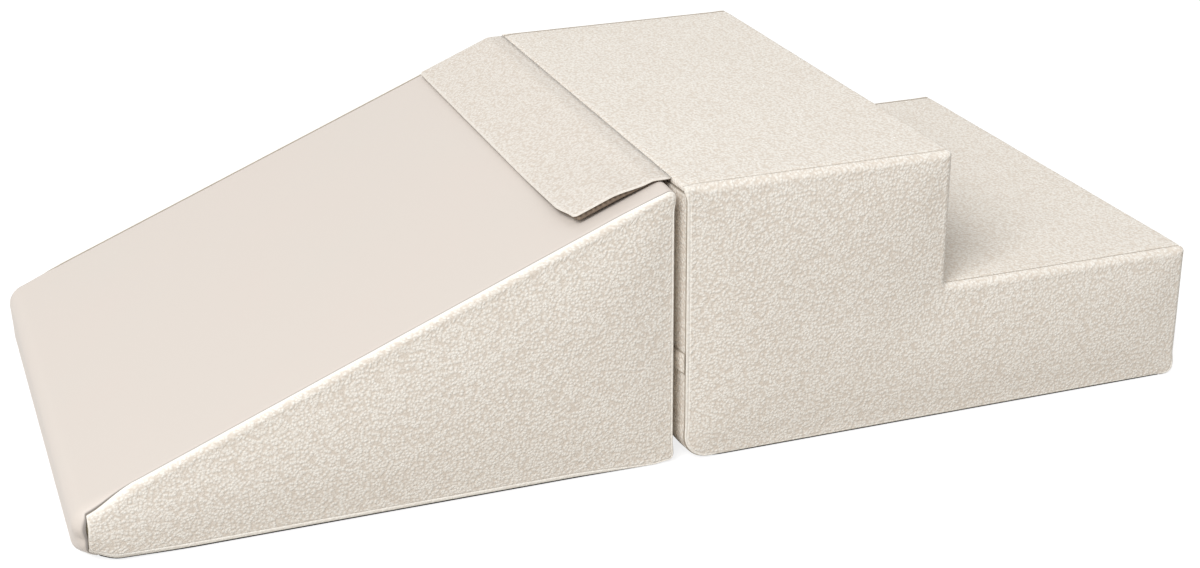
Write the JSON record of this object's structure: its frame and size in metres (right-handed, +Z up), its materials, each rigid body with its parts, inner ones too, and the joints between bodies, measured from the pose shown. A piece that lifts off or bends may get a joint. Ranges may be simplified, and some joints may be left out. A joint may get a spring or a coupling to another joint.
{
  "type": "soft play foam climber",
  "caption": "Low toddler climber of soft foam: a wedge slide with a smooth panel joined by a fabric flap to a block of steps, in zipped covers.",
  "frame": {"origin": "on the floor, at the centre of the footprint's bounding box", "axes": "+X along the length from the slide's nose to the low step, +Y across the slide away from the near side, +Z up"},
  "size_m": [1.233, 0.604, 0.308],
  "materials": {
    "boucle": "cream looped boucle",
    "leatherette": "smooth matt cream leatherette",
    "base_fabric": "dark anti-slip dotted fabric",
    "foam": "open-cell polyurethane foam",
    "tape": "woven nylon tape",
    "coil": "nylon zip coil",
    "zip_slider": "cast zip slider with no pull tab",
    "lining": "plain woven lining"
  },
  "bodies": {
    "slide": {"slide_foam_core": "foam", "slide_surface_panel": "leatherette", "slide_side_panel_near": "boucle", "slide_side_panel_far": "boucle", "slide_back_panel_upper": "boucle", "slide_back_panel_lower": "boucle", "slide_base_panel": "base_fabric", "slide_zip_tape_upper": "tape", "slide_zip_tape_lower": "tape", "slide_zip_coil_upper": "coil", "slide_zip_coil_lower": "coil", "slide_zip_fly": "boucle", "slide_loop_tape": "tape"},
    "steps": {"steps_foam_lower": "foam", "steps_foam_upper": "foam", "steps_top_panel": "boucle", "steps_side_panel_near": "boucle", "steps_side_panel_far": "boucle", "steps_back_panel_upper": "boucle", "steps_back_panel_lower": "boucle", "steps_base_panel": "base_fabric", "steps_zip_tape_upper": "tape", "steps_zip_tape_lower": "tape", "steps_zip_coil_upper": "coil", "steps_zip_coil_lower": "coil", "steps_zip_fly": "boucle"},
    "flap": {"flap_outer": "boucle", "flap_lining": "lining", "flap_hook_tape": "tape"},
    "slide_zip_runner": {"slide_zip_slider": "zip_slider"},
    "steps_zip_runner": {"steps_zip_slider": "zip_slider"}
  },
  "joints": [
    {"name": "steps_lift_off", "type": "slide", "parent": "slide", "child": "steps", "axis": [0, 0, 1], "range_m": [0, 0.45]},
    {"name": "flap_hinge", "type": "hinge", "parent": "steps", "child": "flap", "pos_m": [0.0082, -0.002, 0.308], "axis": [0, 1, 0], "range_deg": [0, 180]},
    {"name": "slide_zip_run", "type": "slide", "parent": "slide", "child": "slide_zip_runner", "axis": [0, -1, 0], "range_m": [0, 0.56]},
    {"name": "steps_zip_run", "type": "slide", "parent": "steps", "child": "steps_zip_runner", "axis": [0, -1, 0], "range_m": [0, 0.56]}
  ]
}
